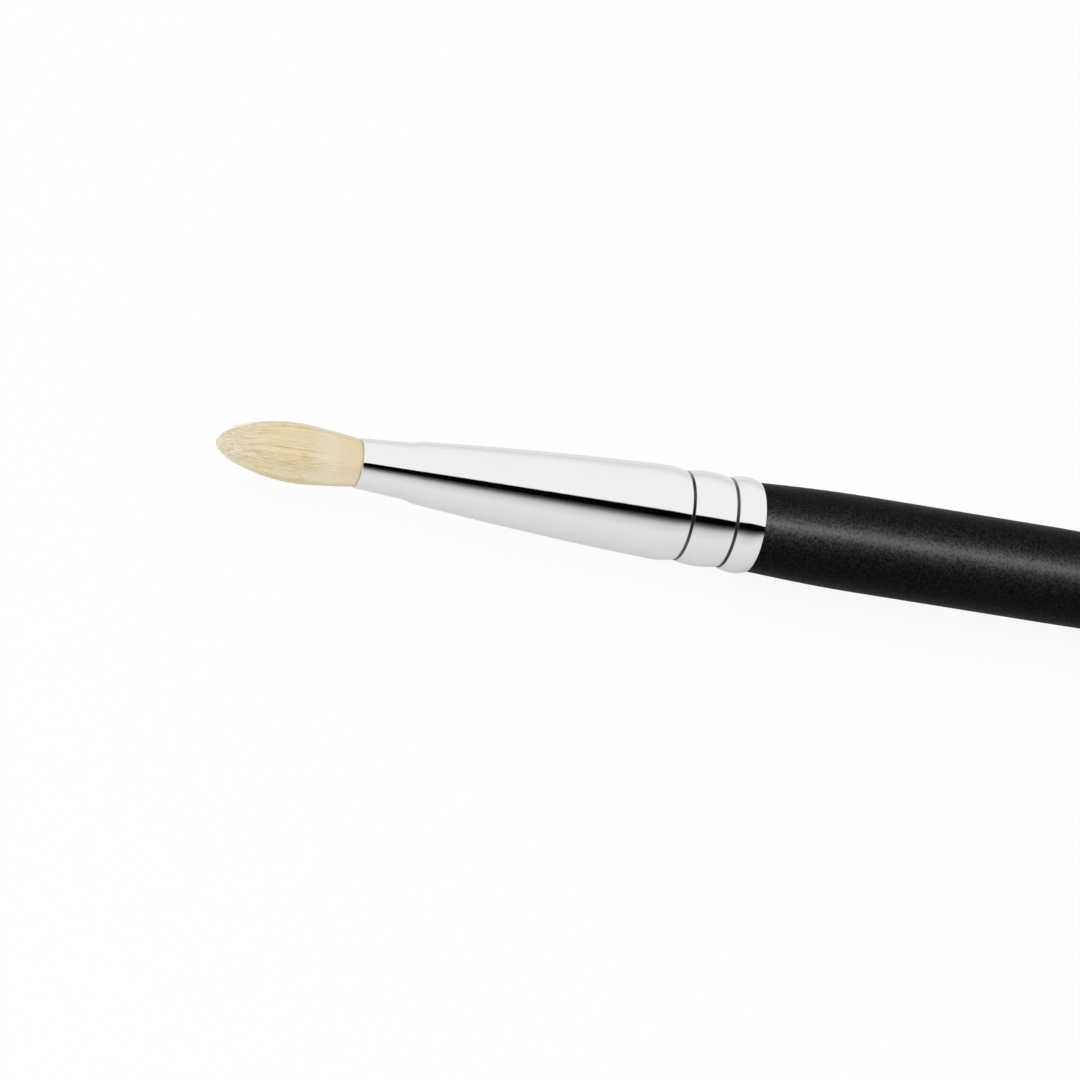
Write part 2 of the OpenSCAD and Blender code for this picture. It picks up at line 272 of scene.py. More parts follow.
key = area_lamp("key", KEY_PLACE, KEY_TARGET, KEY_SIZE, KEY_RADIANCE)
key.visible_glossy = False
tube_angle = math.radians(camera_angle + TUBE_ABOVE_CAMERA)
tube_way = Vector((0, -math.cos(tube_angle), math.sin(tube_angle)))
tube_place = tube_way * TUBE_AWAY + Vector((TUBE_ALONG, 0, 0))
tube = area_lamp("tube", tube_place, Vector((0, 0, 0)), TUBE_SIZE, TUBE_RADIANCE)
tube.visible_diffuse = False
lacquered = bpy.data.collections.new("lacquered")
lacquered.objects.link(nodes["handle"])
tube.light_linking.receiver_collection = lacquered
print("lamps", key.name, round(key.data.energy, 2), "W,", tube.name, round(tube.data.energy, 1), "W")

# %% [markdown]
# ## The handle's lacquer
# The handle is turned from birch and dipped in black lacquer that dries satin.
# Its surface isn't quite level: fine nibs and a slight orange peel break up the
# highlight. A smooth black would look like plastic, so noise at the size of the
# real nibs moves the roughness, the gloss and the surface a little.

# %% Satin black lacquer
# Widths of the nibs and of the peel's waves, in millimetres
NIB, PEEL = 0.22, 1.4
PEEL_DEPTH = 0.004 * MM


def to_metres(mm):
    """Noise scale for a pattern whose spots are mm wide, on coordinates in metres."""
    return 1 / (mm * MM)


lacquer, tree = finish_named("satin_black_lacquer")
where = add(tree, "ShaderNodeTexCoord").outputs["Object"]
nibs = add(tree, NOISE, {"Vector": where, "Scale": to_metres(NIB), "Detail": 3.0, "Roughness": 0.6})
peel = add(tree, NOISE, {"Vector": where, "Scale": to_metres(PEEL), "Detail": 1.0})
rough = add(tree, RANGE, {0: nibs, "From Min": 0.3, "From Max": 0.7, "To Min": 0.37, "To Max": 0.48})
tint = add(tree, "ShaderNodeValToRGB", [nibs])
for stop, place, colour in zip(tint.color_ramp.elements, (0.35, 0.75), ("#030304", "#080809")):
    stop.position = place
    stop.color = linear(colour)
bumps = add(tree, MATH, [nibs, peel], operation="ADD")
level = add(tree, "ShaderNodeBump", {"Strength": 0.5, "Distance": PEEL_DEPTH, "Height": bumps})
gloss = add(tree, RANGE, {0: nibs, "From Min": 0.35, "From Max": 0.65, "To Min": 0.02, "To Max": 0.06})
skin = add(tree, "ShaderNodeBsdfPrincipled",
           {"Base Color": tint, "Roughness": rough, "Normal": level, "Specular IOR Level": gloss})
add(tree, "ShaderNodeOutputMaterial", {"Surface": skin})
nodes["handle"].material_slots[0].material = lacquer
print("handle finish", lacquer.name)

# %% [markdown]
# ## The ferrule's plate
# The ferrule is brass tube, drawn to a taper, crimped onto the handle, and plated
# with bright nickel. Plate is a mirror with faint drawing lines along the tube.
# The two crimps were rolled in, and their grooves show as thin dark rings. These rings are painted shade: a
# mask by the place along the brush paints them exactly where the grooves are.

# %% The painted shade in the crimps
REAR_CRIMP, FRONT_CRIMP = 2.55 * MM, 6.5 * MM
# From a crimp's middle, the painted shade is full as far as its core and ends at its edge
CRIMP_SHADE_EDGE, CRIMP_SHADE_CORE = 0.19 * MM, 0.1 * MM
CLOUD = 3
crimps = [rear_x - REAR_CRIMP, rear_x - FRONT_CRIMP]
nickel, tree = finish_named("bright_nickel_plate")
where = add(tree, "ShaderNodeTexCoord").outputs["Object"]
place = add(tree, "ShaderNodeSeparateXYZ", [where]).outputs
gaps = []
for crimp in crimps:
    gap = add(tree, MATH, [place["X"], -crimp], operation="ADD")
    gaps.append(add(tree, MATH, [gap], operation="ABSOLUTE"))
gap = add(tree, MATH, gaps, operation="MINIMUM")
# Dark rings of painted shade along the crimps' grooves
crimp_shade = add(tree, RANGE, {0: gap, "From Min": CRIMP_SHADE_EDGE, "From Max": CRIMP_SHADE_CORE},
           interpolation_type="SMOOTHSTEP")
# The painted shade fades on the side away from the camera
shade_fade = add(tree, RANGE,
             {0: place["Y"], "From Min": 0.6 * MM, "From Max": 3.2 * MM, "To Min": 1.0, "To Max": 0.5})
cloud = add(tree, NOISE, {"Vector": where, "Scale": to_metres(CLOUD), "Detail": 2.0})
# A little noise makes the painted shade uneven
shade_noise = add(tree, RANGE, {0: cloud, "From Min": 0.35, "From Max": 0.65, "To Min": 0.9, "To Max": 1.0})
shade_fade = add(tree, MATH, [shade_fade, shade_noise], operation="MULTIPLY")
crimp_shade = add(tree, MATH, [crimp_shade, shade_fade], operation="MULTIPLY")
print("crimps at", [round(crimp / MM, 2) for crimp in crimps], "mm")

# %% [markdown]
# The plate itself is nearly white metal. It stays a little uneven in tone, as
# buffing leaves it. The drawing lines are noise stretched along the tube. They
# move the roughness and the surface so slightly that they only soften what the
# mirror shows.

# %% Bright nickel plate
LINE, LINE_STRETCH = 0.12, (0.03, 1, 1)
LINE_DEPTH = 0.0006 * MM
CRIMP_ROUGHNESS = 0.35
along = add(tree, "ShaderNodeMapping", {"Vector": where, "Scale": LINE_STRETCH})
lines = add(tree, NOISE, {"Vector": along, "Scale": to_metres(LINE), "Detail": 2.0})
bright = add(tree, MIX, [cloud, linear("#efeff0"), linear("#f4f3f2")])
# The near-black colour is the crimps' painted shade over the plate's own tone
colour = add(tree, MIX, [crimp_shade, bright, linear("#1c1b18")])
polish = add(tree, RANGE, {0: lines, "From Min": 0.3, "From Max": 0.7, "To Min": 0.03, "To Max": 0.06})
rough = add(tree, MATH, [crimp_shade, CRIMP_ROUGHNESS], operation="MULTIPLY")
rough = add(tree, MATH, [rough, polish], operation="ADD")
level = add(tree, "ShaderNodeBump", {"Strength": 0.2, "Distance": LINE_DEPTH, "Height": lines})
skin = add(tree, "ShaderNodeBsdfPrincipled",
           {"Base Color": colour, "Metallic": 1.0, "Roughness": rough, "Normal": level})
add(tree, "ShaderNodeOutputMaterial", {"Surface": skin})
nodes["ferrule"].material_slots[0].material = nickel
print("ferrule finish", nickel.name)

# %% [markdown]
# ## The hair's finish
# The tuft is natural cream hair. Each hair has its own tone, neighbours that share a tone make fine streaks,
# and a painted shade turns them golden where they leave the mouth. Painted light makes the tips paler.
# Every hair carries its tone and its height as attributes, so the pattern
# follows the hair however it bends.

# %% Natural cream hair
TONES = [(0.1, "#f2ddae"), (0.5, "#f7e9c6"), (0.9, "#f9f2dc")]
PATCH, PATCH_STRETCH = 0.7, (0.14, 1, 1)
cream, tree = finish_named("natural_cream_hair")
tone = add(tree, "ShaderNodeAttribute", attribute_name="tone").outputs["Fac"]
height = add(tree, "ShaderNodeAttribute", attribute_name="height").outputs["Fac"]
pick = add(tree, "ShaderNodeValToRGB", [tone])
pick.color_ramp.elements.new(0.5)
for stop, (place, colour) in zip(pick.color_ramp.elements, TONES):
    stop.position = place
    stop.color = linear(colour)
where = add(tree, "ShaderNodeTexCoord").outputs["Object"]
flow = add(tree, "ShaderNodeMapping", {"Vector": where, "Scale": PATCH_STRETCH})
patch = add(tree, NOISE, {"Vector": flow, "Scale": to_metres(PATCH), "Detail": 2.0})
patch = add(tree, RANGE, {0: patch, "From Min": 0.52, "From Max": 0.7, "To Max": 0.5})
warm = add(tree, MIX, [patch, pick, linear("#f0cf98")])
# Close to the mouth the hair was never touched and is paler, down to a golden rim of painted shade
clean = add(tree, RANGE, {0: height, "From Min": 0.1, "From Max": 0.3, "To Min": 0.5, "To Max": 0.0})
golden = add(tree, MIX, [clean, warm, linear("#fcf6e4")])
# The golden rim is painted shade where the hair leaves the mouth
mouth_shade = add(tree, RANGE, {0: height, "From Min": 0.0, "From Max": 0.022, "To Min": 0.2, "To Max": 0.0})
golden = add(tree, MIX, [mouth_shade, golden, linear("#f0c890")])
# Tips are finer than the rest of the hair and look paler; the paler colour is also painted light that
# brightens the shaded hair ends
tip_light = add(tree, RANGE, {0: height, "From Min": 0.65, "From Max": 0.92, "To Max": 1.0})
golden = add(tree, MIX, [tip_light, golden, linear("#fff5e0")])
skin = add(tree, "ShaderNodeBsdfPrincipled",
           {"Base Color": golden, "Roughness": 0.5, "Specular IOR Level": 0.2})
add(tree, "ShaderNodeOutputMaterial", {"Surface": skin})
print("hair finish", cream.name)

# %% [markdown]
# ## The tuft
# A maker shakes a few thousand hairs in a cup until their tips make a dome, ties them, and pulls them
# through the ferrule. Blender's own hair is not a mesh and would vanish from a model saved as meshes, so
# Geometry Nodes grow each hair as a thin three-sided tube. All hairs swell and gather by one curve along the
# tuft, and a second curve says how high a hair from each ring of the root reaches, so that the tips make the
# dome.

# %% The curves that shape the tuft
# Heights above the mouth and the tuft's radius there in millimetres, read off the photograph
SWELL = [(0, 1.85), (0.05, 2.07), (0.3, 2.09), (1.0, 2.15), (2.4, 2.35), (3.8, 2.48),
         (4.7, 2.56), (5.2, 2.57)]
BELLY, WIDEST = (v * MM for v in SWELL[-1])
ROOT = SWELL[0][1] * MM
# Points of each hair round the mouth, as shares of its course and heights in millimetres
LOW = [(0.0, -0.6), (0.125, -0.02), (0.25, 0.06), (0.375, 0.45)]
# Above the belly the hairs gather as if to a point just beyond the tip, and the
# longest of the outer ones end where the dome begins
GATHER_END, GATHER_BEND, GATHER_POWER = 13.185 * MM, 1.97, 0.83
DOME_START, DOME_BEND, DOME_POWER = 11.2 * MM, 2.4, 0.46
DOME_TOP = hair_out - 0.12 * MM
# A curve node holds values from 0 to 1, so the spread and the low heights, in
# millimetres, go in as shares of these
CURVE_TOP, LOW_SPAN = 2.0, 2
SAMPLES = 20
most = WIDEST / ROOT


def gather(h):
    """How far the hairs stand apart above the belly, as a multiple of the root's size."""
    rest = (h - BELLY) / (GATHER_END - BELLY)
    return most * (1 - rest ** GATHER_BEND) ** GATHER_POWER


def dome(place):
    """How high a hair from a ring of the root reaches, as a share of the tuft."""
    return (DOME_START + (DOME_TOP - DOME_START) * (1 - place ** DOME_BEND) ** DOME_POWER) / hair_out


spread_samples = [(h * MM / hair_out, r * MM / ROOT / CURVE_TOP) for h, r in SWELL]
for i in range(1, SAMPLES + 1):
    h = BELLY + (hair_out - BELLY) * i / SAMPLES
    spread_samples.append((h / hair_out, gather(h) / CURVE_TOP))
dome_samples = [(i / SAMPLES, dome(i / SAMPLES)) for i in range(SAMPLES + 1)]
low_samples = [(t, (h - LOW[0][1]) / LOW_SPAN) for t, h in LOW]
low_samples.append((1.0, low_samples[-1][1]))
print("spread at the belly", round(most, 3), "dome at the rim", round(dome(1), 3))

# %% [markdown]
# ## Roots for the hairs
# One tree grows every layer of the tuft, so its sizes are inputs with names. It
# starts with a point for each hair. The points lie on a sunflower spiral, which
# packs a disc evenly, as hairs pack in a binding.

# %% Roots on a sunflower spiral
hairs = bpy.data.node_groups.new("grow_hairs", "GeometryNodeTree")
HAIR_INPUTS = {"Hairs": "Int", "Points": "Int", "Seed": "Int", "Ring from": "Float", "Ring to": "Float",
               "Root radius": "Float", "Length": "Float", "Thickness": "Float", "Uneven": "Float",
               "Stray": "Float", "Lock": "Float", "Lock scale": "Float", "Mouth": "Vector",
               "Droop": "Vector", "Finish": "Material"}
GOLDEN_ANGLE = math.pi * (3 - math.sqrt(5))
for name, kind in HAIR_INPUTS.items():
    hairs.interface.new_socket(name, in_out="INPUT", socket_type="NodeSocket" + kind)
hairs.interface.new_socket("Hair", in_out="OUTPUT", socket_type="NodeSocketGeometry")
given = add(hairs, "NodeGroupInput").outputs
index = add(hairs, "GeometryNodeInputIndex")
ring = add(hairs, MATH, [index, 0.5], operation="ADD")
ring = add(hairs, MATH, [ring, given["Hairs"]], operation="DIVIDE")
# A disc's room grows with the square of its radius, so the points are shared out by squares
inner_square = add(hairs, MATH, [given["Ring from"], 2.0], operation="POWER")
outer_square = add(hairs, MATH, [given["Ring to"], 2.0], operation="POWER")
ring = add(hairs, RANGE, {0: ring, "To Min": inner_square, "To Max": outer_square})
ring = add(hairs, MATH, [ring], operation="SQRT")
turn = add(hairs, MATH, [index, GOLDEN_ANGLE], operation="MULTIPLY")
print("the spiral takes", len(hairs.nodes), "nodes")

# %% [markdown]
# ## A chance for each hair
# No two hairs are alike. Each point draws the chances that make its hair a
# little shorter, paler or looser than the next, and keeps them as attributes,
# because the lines that grow from it later have to know them too. A seed that
# is fixed for each layer gives the same tuft at each run.

# %% Chances kept on the roots
REBEL_POWER = 6.0
# Spots of the streaks' pattern from the axis to the rim, and a hair's own share of its tone
STREAKS = 9.0
OWN_SHARE = 0.45
seeds = [add(hairs, MATH, [given["Seed"], n], operation="ADD") for n in range(4)]
luck = add(hairs, "FunctionNodeRandomValue", {"ID": index, "Seed": seeds[0]})
tone = add(hairs, "FunctionNodeRandomValue", {"ID": index, "Seed": seeds[1]})
drift = add(hairs, "FunctionNodeRandomValue",
            {"Min": (-1, -1, -1), "Max": (1, 1, 1), "ID": index, "Seed": seeds[2]}, data_type="FLOAT_VECTOR")
# Few hairs are rebels: a high power keeps most of these chances near nothing
rebel = add(hairs, "FunctionNodeRandomValue", {"ID": index, "Seed": seeds[3]})
rebel = add(hairs, MATH, [rebel, REBEL_POWER], operation="POWER")
# Neighbours share a part of their tone, which makes streaks
cosine = add(hairs, MATH, [turn], operation="COSINE")
sine = add(hairs, MATH, [turn], operation="SINE")
unit = add(hairs, "ShaderNodeCombineXYZ", [cosine, sine])
spot = add(hairs, VECTOR_MATH, {0: unit, "Scale": ring}, operation="SCALE")
streak = add(hairs, NOISE, {"Vector": spot, "Scale": STREAKS, "Detail": 2.0})
streak = add(hairs, RANGE, {0: streak, "From Min": 0.3, "From Max": 0.7})
own = add(hairs, MATH, [tone, OWN_SHARE], operation="MULTIPLY")
tone = add(hairs, MATH, [streak, 1 - OWN_SHARE, own], operation="MULTIPLY_ADD")
flow = add(hairs, "GeometryNodePoints", {"Count": given["Hairs"]})
chances = {"ring": (ring, "FLOAT"), "turn": (turn, "FLOAT"), "luck": (luck, "FLOAT"),
           "tone": (tone, "FLOAT"), "rebel": (rebel, "FLOAT"), "drift": (drift, "FLOAT_VECTOR")}
for name, (value, kind) in chances.items():
    flow = add(hairs, "GeometryNodeStoreNamedAttribute",
               {"Geometry": flow, "Name": name, "Value": value}, data_type=kind)
print("the roots take", len(hairs.nodes), "nodes")

# %% [markdown]
# ## The height of each point
# Every root gets one short line of a few points. The line is made real, so that
# each point can be moved by its share of the way. A hair reaches as high as the
# dome stands over its ring, less a little by chance. Its first points follow the
# turn round the mouth closely, and the rest share the way to the tip.

# %% Lines that reach for the dome
# Below 1, this sets the points closer together toward the tip
WAY_POWER = 0.8


def bend_curve(node, samples, handle="AUTO"):
    """Puts points on a Float Curve."""
    curve = node.mapping.curves[0]
    curve.points[0].location, curve.points[1].location = samples[0], samples[-1]
    for sample in samples[1:-1]:
        curve.points.new(*sample)
    for point in curve.points:
        point.handle_type = handle
    node.mapping.update()


line = add(hairs, "GeometryNodeCurvePrimitiveLine", {"End": (0, 0, 1)})
line = add(hairs, "GeometryNodeResampleCurve", {"Curve": line, "Count": given["Points"]})
flow = add(hairs, "GeometryNodeInstanceOnPoints", {"Points": flow, "Instance": line})
flow = add(hairs, "GeometryNodeRealizeInstances", {"Geometry": flow})
kept = {name: add(hairs, "GeometryNodeInputNamedAttribute", {"Name": name}, data_type=kind)
        for name, (value, kind) in chances.items()}
share = add(hairs, "GeometryNodeSplineParameter").outputs["Factor"]
reach = add(hairs, "ShaderNodeFloatCurve", {"Value": kept["ring"]})
bend_curve(reach, dome_samples)
shorter = add(hairs, MATH, [kept["luck"], given["Uneven"]], operation="MULTIPLY")
reach = add(hairs, MATH, [reach, given["Length"]], operation="MULTIPLY")
reach = add(hairs, MATH, [reach, shorter], operation="SUBTRACT")
low = add(hairs, "ShaderNodeFloatCurve", {"Value": share})
bend_curve(low, low_samples, "VECTOR")
low = add(hairs, MATH, [low, LOW_SPAN * MM, LOW[0][1] * MM], operation="MULTIPLY_ADD")
way = add(hairs, RANGE, {0: share, "From Min": LOW[-1][0]})
way = add(hairs, MATH, [way, WAY_POWER], operation="POWER")
above_low = add(hairs, MATH, [reach, LOW[-1][1] * MM], operation="SUBTRACT")
height = add(hairs, MATH, [way, above_low, low], operation="MULTIPLY_ADD")
height_share = add(hairs, MATH, [height, given["Length"]], operation="DIVIDE")
height_share = add(hairs, MATH, [height_share, 0.0], operation="MAXIMUM")
print("roots and heights take", len(hairs.nodes), "nodes")

# %% [markdown]
# ## Out by the swell, and a little aside
# Each point now moves out from the axis by the tuft's swell at its height. Then
# it strays: every hair a little, the rebels far more, and all of them more
# toward the tip. Neighbours wander together, which makes the soft locks of real
# hair, and the whole tip hangs slightly off the axis.

# %% Lines that swell and gather
# Any hair may stray by this share of its layer's limit, and a full rebel by all of it more
LEAST_STRAY = 0.35
LATE_POWER = 2.0
DROOP_POWER = 3.0
LOCK_STRETCH = (0.15, 1, 1)
wide = add(hairs, "ShaderNodeFloatCurve", {"Value": height_share})
bend_curve(wide, spread_samples)
wide = add(hairs, MATH, [wide, CURVE_TOP], operation="MULTIPLY")
edge = add(hairs, MATH, [given["Thickness"], -0.5, given["Root radius"]], operation="MULTIPLY_ADD")
out = add(hairs, MATH, [kept["ring"], edge], operation="MULTIPLY")
wide = add(hairs, MATH, [wide, out], operation="MULTIPLY")
cosine = add(hairs, MATH, [kept["turn"]], operation="COSINE")
sine = add(hairs, MATH, [kept["turn"]], operation="SINE")
place = add(hairs, "ShaderNodeCombineXYZ", [0.0, cosine, sine])
place = add(hairs, VECTOR_MATH, {0: place, "Scale": wide}, operation="SCALE")
rise = add(hairs, VECTOR_MATH, {0: (-1, 0, 0), "Scale": height}, operation="SCALE")
place = add(hairs, VECTOR_MATH, [place, rise], operation="ADD")
late = add(hairs, MATH, [way, LATE_POWER], operation="POWER")
loose = add(hairs, MATH, [kept["rebel"], LEAST_STRAY], operation="ADD")
loose = add(hairs, MATH, [loose, given["Stray"]], operation="MULTIPLY")
loose = add(hairs, MATH, [loose, late], operation="MULTIPLY")
drift = add(hairs, VECTOR_MATH, {0: kept["drift"], "Scale": loose}, operation="SCALE")
place = add(hairs, VECTOR_MATH, [place, drift], operation="ADD")
high = add(hairs, MATH, [height_share, DROOP_POWER], operation="POWER")
droop = add(hairs, VECTOR_MATH, {0: given["Droop"], "Scale": high}, operation="SCALE")
place = add(hairs, VECTOR_MATH, [place, droop], operation="ADD")
slow = add(hairs, VECTOR_MATH, [place, LOCK_STRETCH], operation="MULTIPLY")
locks = add(hairs, NOISE, {"Vector": slow, "Scale": given["Lock scale"], "Detail": 1.0})
locks = add(hairs, VECTOR_MATH, [locks.outputs["Color"], (0.5, 0.5, 0.5)], operation="SUBTRACT")
lock_size = add(hairs, MATH, [way, given["Lock"]], operation="MULTIPLY")
locks = add(hairs, VECTOR_MATH, {0: locks, "Scale": lock_size}, operation="SCALE")
place = add(hairs, VECTOR_MATH, [place, locks], operation="ADD")
place = add(hairs, VECTOR_MATH, [place, given["Mouth"]], operation="ADD")
flow = add(hairs, "GeometryNodeSetPosition", {"Geometry": flow, "Position": place})
flow = add(hairs, "GeometryNodeStoreNamedAttribute",
           {"Geometry": flow, "Name": "height", "Value": height_share})
print("roots and courses take", len(hairs.nodes), "nodes")

# %% [markdown]
# ## A body for each hair
# A hair is thinnest at its own tip, so the lines get a triangle of a size that
# shrinks at the end. Three sides are enough at a few hundredths of a millimetre,
# and smooth shading rounds them.

# %% Hairs with bodies
TAPER, TAPER_POWER = 0.35, 5.0
thin = add(hairs, MATH, [way, TAPER_POWER], operation="POWER")
thick = add(hairs, MATH, [thin, -TAPER, 1.0], operation="MULTIPLY_ADD")
thick = add(hairs, MATH, [thick, given["Thickness"]], operation="MULTIPLY")
thick = add(hairs, MATH, [thick, 0.5], operation="MULTIPLY")
section = add(hairs, "GeometryNodeCurvePrimitiveCircle", {"Resolution": 3, "Radius": 1.0})
flow = add(hairs, "GeometryNodeCurveToMesh",
           {"Curve": flow, "Profile Curve": section, "Scale": thick, "Fill Caps": True})
flow = add(hairs, "GeometryNodeSetShadeSmooth", {"Geometry": flow})
flow = add(hairs, "GeometryNodeRealizeInstances", {"Geometry": flow})
flow = add(hairs, "GeometryNodeSetMaterial", {"Geometry": flow, "Material": given["Finish"]})
add(hairs, "NodeGroupOutput", [flow])
print("the whole tree takes", len(hairs.nodes), "nodes")

# %% [markdown]
# ## The layers of the tuft
# The tree runs once for each layer: it is set on a holder, its result is taken
# as a plain mesh, and the holder goes. Natural hair is never cut, so the outer
# hairs end at scattered heights along the flank, where the inner ones take over.
# The core fills the dome, and a few strays soften the outline. The hairs of a
# real tuft are finer, but those would be lost between the pixels. These are
# thicker and run into one another deep inside, where it doesn't show.

# %% Grow the tuft
def grow(name, tree, **values):
    """Runs a tree with the given inputs and returns the result as a plain mesh object."""
    holder = new_piece(name + "_holder", bpy.data.meshes.new(name + "_holder"))
    modifier = holder.modifiers.new("nodes", "NODES")
    modifier.node_group = tree
    sockets = {s.name: s.identifier for s in tree.interface.items_tree if s.in_out == "INPUT"}
    for key, value in values.items():
        modifier[sockets[key.replace("_", " ")]] = value
    made = bpy.data.meshes.new_from_object(holder.evaluated_get(bpy.context.evaluated_depsgraph_get()))
    made.name = name
    bpy.data.objects.remove(holder)
    print(name, len(made.polygons), "faces, materials", [m.name for m in made.materials if m])
    return new_piece(name, made)


# The tip hangs a little off the axis, as in the photograph
DROOP = Vector((0, -0.743, -0.669)) * 0.1 * MM
shape = {"Root_radius": ROOT, "Length": hair_out, "Mouth": Vector((mouth_x, 0, axis_z)), "Droop": DROOP,
         "Finish": cream, "Lock": 0.05 * MM, "Lock_scale": to_metres(0.8), "Points": 10}
# Of each layer, the hairs, the seed, the rings of the root that it takes as shares
# of the radius, and in millimetres the thickness, the unevenness and the stray
LAYERS = {"tuft_outer_hairs": (3400, 3, 0.86, 1.0, 0.078, 3.2, 0.015),
          "tuft_inner_hairs": (3500, 5, 0.6, 0.86, 0.085, 1.2, 0.015),
          "tuft_core_hairs": (2600, 11, 0.0, 0.6, 0.1, 0.3, 0.015),
          "tuft_stray_hairs": (260, 23, 0.82, 1.0, 0.055, 3.5, 0.42)}
tuft = []
for name, (count, seed, ring_from, ring_to, thickness, uneven, stray) in LAYERS.items():
    tuft.append(grow(name, hairs, Hairs=count, Seed=seed, Ring_from=ring_from, Ring_to=ring_to,
                     Thickness=thickness * MM, Uneven=uneven * MM, Stray=stray * MM, **shape))

# %% [markdown]
# ## The packed heart
# Under the top layers the hairs lie so close that no light passes and no single
# hair shows. Inside the ferrule they are a solid stem, drawn in by the binding
# and flared at the butt. Ten thousand more hairs could fill it, but one outline
# turned about the axis, a little inside the grown tips, is just as true to see.

# %% The heart's outline
# Radii in millimetres of the imported root, of its flared butt, of the waist that
# the thread is tied in, and of the root as it passes the rounded mouth
PACKED, FLARED, TIED, AT_MOUTH = 1.835, 1.935, 1.615, 1.78
# Heights above the mouth in millimetres and radii, from the butt to the mouth
STEM = [(-11.8, 0), (-11.8, PACKED), (-11.7, FLARED), (-10.0, FLARED), (-9.68, TIED), (-6.79, TIED),
        (-6.57, PACKED), (-0.6, PACKED), (-0.3, AT_MOUTH), (0, AT_MOUTH)]
# How far in millimetres the heart stays under the flank and under the tips
UNDER_FLANK, UNDER_TIPS = 0.13, 0.08
FLANK_STEP = 0.5 * MM
# Powers that set the rings of the dome closer to its rim, and keep the larger
# distance to the rim alone
RIM_POWER, RIM_ONLY = 1.5, 4
heart_outline = STEM + [(h, r - UNDER_FLANK) for h, r in SWELL[1:]]
h = BELLY + FLANK_STEP
while h < DOME_START - UNDER_TIPS * MM:
    heart_outline.append((h / MM, gather(h) * ROOT / MM - UNDER_FLANK))
    h += FLANK_STEP
for i in range(SAMPLES):
    ring = 1 - (i / SAMPLES) ** RIM_POWER
    h = dome(ring) * hair_out
    under = UNDER_TIPS + (UNDER_FLANK - UNDER_TIPS) * ring ** RIM_ONLY
    heart_outline.append((h / MM - UNDER_TIPS, ring * ROOT / MM * gather(h) - under))
heart_outline = [spot for n, spot in enumerate(heart_outline) if spot[1] > 0 or n == 0]
heart_outline.append((DOME_TOP / MM - UNDER_TIPS, 0))
print("the heart's outline has", len(heart_outline), "points")

# %% [markdown]
# The outline is turned about the brush's axis. Its points take the same
# attributes as the hairs, so that one finish serves both: a tone that runs along
# the whole heart, as a hair's does, and the height above the mouth. The tip
# droops with the hairs over it.

# %% A turned heart
HEART_SIDES = 180
HEART_TONES = (0.1, 0.8)
HEART_SEED = 5


def turned(name, outline, sides):
    """A closed solid from an outline of [place, radius], turned about the brush's axis."""
    points, faces, first = [], [], []
    for x, r in outline:
        first.append(len(points))
        for s in range(sides if r else 1):
            a = 2 * math.pi * s / sides
            points.append((x, r * math.cos(a), axis_z + r * math.sin(a)))
    for n in range(len(outline) - 1):
        a, b = first[n], first[n + 1]
        for s in range(sides):
            t = (s + 1) % sides
            if outline[n][1] == 0:
                faces.append((a, b + s, b + t))
            elif outline[n + 1][1] == 0:
                faces.append((a + s, b, a + t))
            else:
                faces.append((a + s, b + s, b + t, a + t))
    mesh = bpy.data.meshes.new(name)
    mesh.from_pydata(points, [], faces)
    mesh.shade_smooth()
    return new_piece(name, mesh)


heart = turned("tuft_heart", [(mouth_x - h * MM, r * MM) for h, r in reversed(heart_outline)], HEART_SIDES)
heart.data.materials.append(cream)
heights = heart.data.attributes.new("height", "FLOAT", "POINT")
tones = heart.data.attributes.new("tone", "FLOAT", "POINT")
chance = random.Random(HEART_SEED)
side_tones = [chance.uniform(*HEART_TONES) for s in range(HEART_SIDES)]
for n, corner in enumerate(heart.data.vertices):
    share_up = max((mouth_x - corner.co.x) / hair_out, 0)
    heights.data[n].value = share_up
    tones.data[n].value = side_tones[n % HEART_SIDES]
    corner.co += DROOP * share_up ** DROOP_POWER
tuft.append(heart)
for piece in tuft:
    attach(piece, "root")
    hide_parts("hair_tuft")
heart_tip = min(corner.co.x for corner in heart.data.vertices)
print("the heart reaches", round((mouth_x - heart_tip) / MM, 2), "mm out")

# %% [markdown]
# ## What the ferrule hides
# Cast resin locks the hairs into the ferrule, and glue holds the ferrule on the
# handle's tenon. Neither shows, but each has its own finish, so a cut through
# the brush would look right. The resin was poured, so it set as glossy amber
# with a little haze. The glue set as a smeared film, duller and slightly uneven.
# A glass-like finish could let light into the resin, but inside a ferrule none
# comes from behind, so a solid colour in two tones is enough.

# %% Resin and glue
HAZE, SMEAR, SMEAR_DEPTH = 1.2, 0.8, 0.02 * MM
resin, tree = finish_named("cast_amber_epoxy")
where = add(tree, "ShaderNodeTexCoord").outputs["Object"]
haze = add(tree, NOISE, {"Vector": where, "Scale": to_metres(HAZE), "Detail": 3.0})
tint = add(tree, MIX, [haze, linear("#a86a1e"), linear("#d99a45")])
skin = add(tree, "ShaderNodeBsdfPrincipled",
           {"Base Color": tint, "Roughness": 0.12, "IOR": 1.55, "Coat Weight": 0.3})
add(tree, "ShaderNodeOutputMaterial", {"Surface": skin})
nodes["resin_plug"].material_slots[0].material = resin

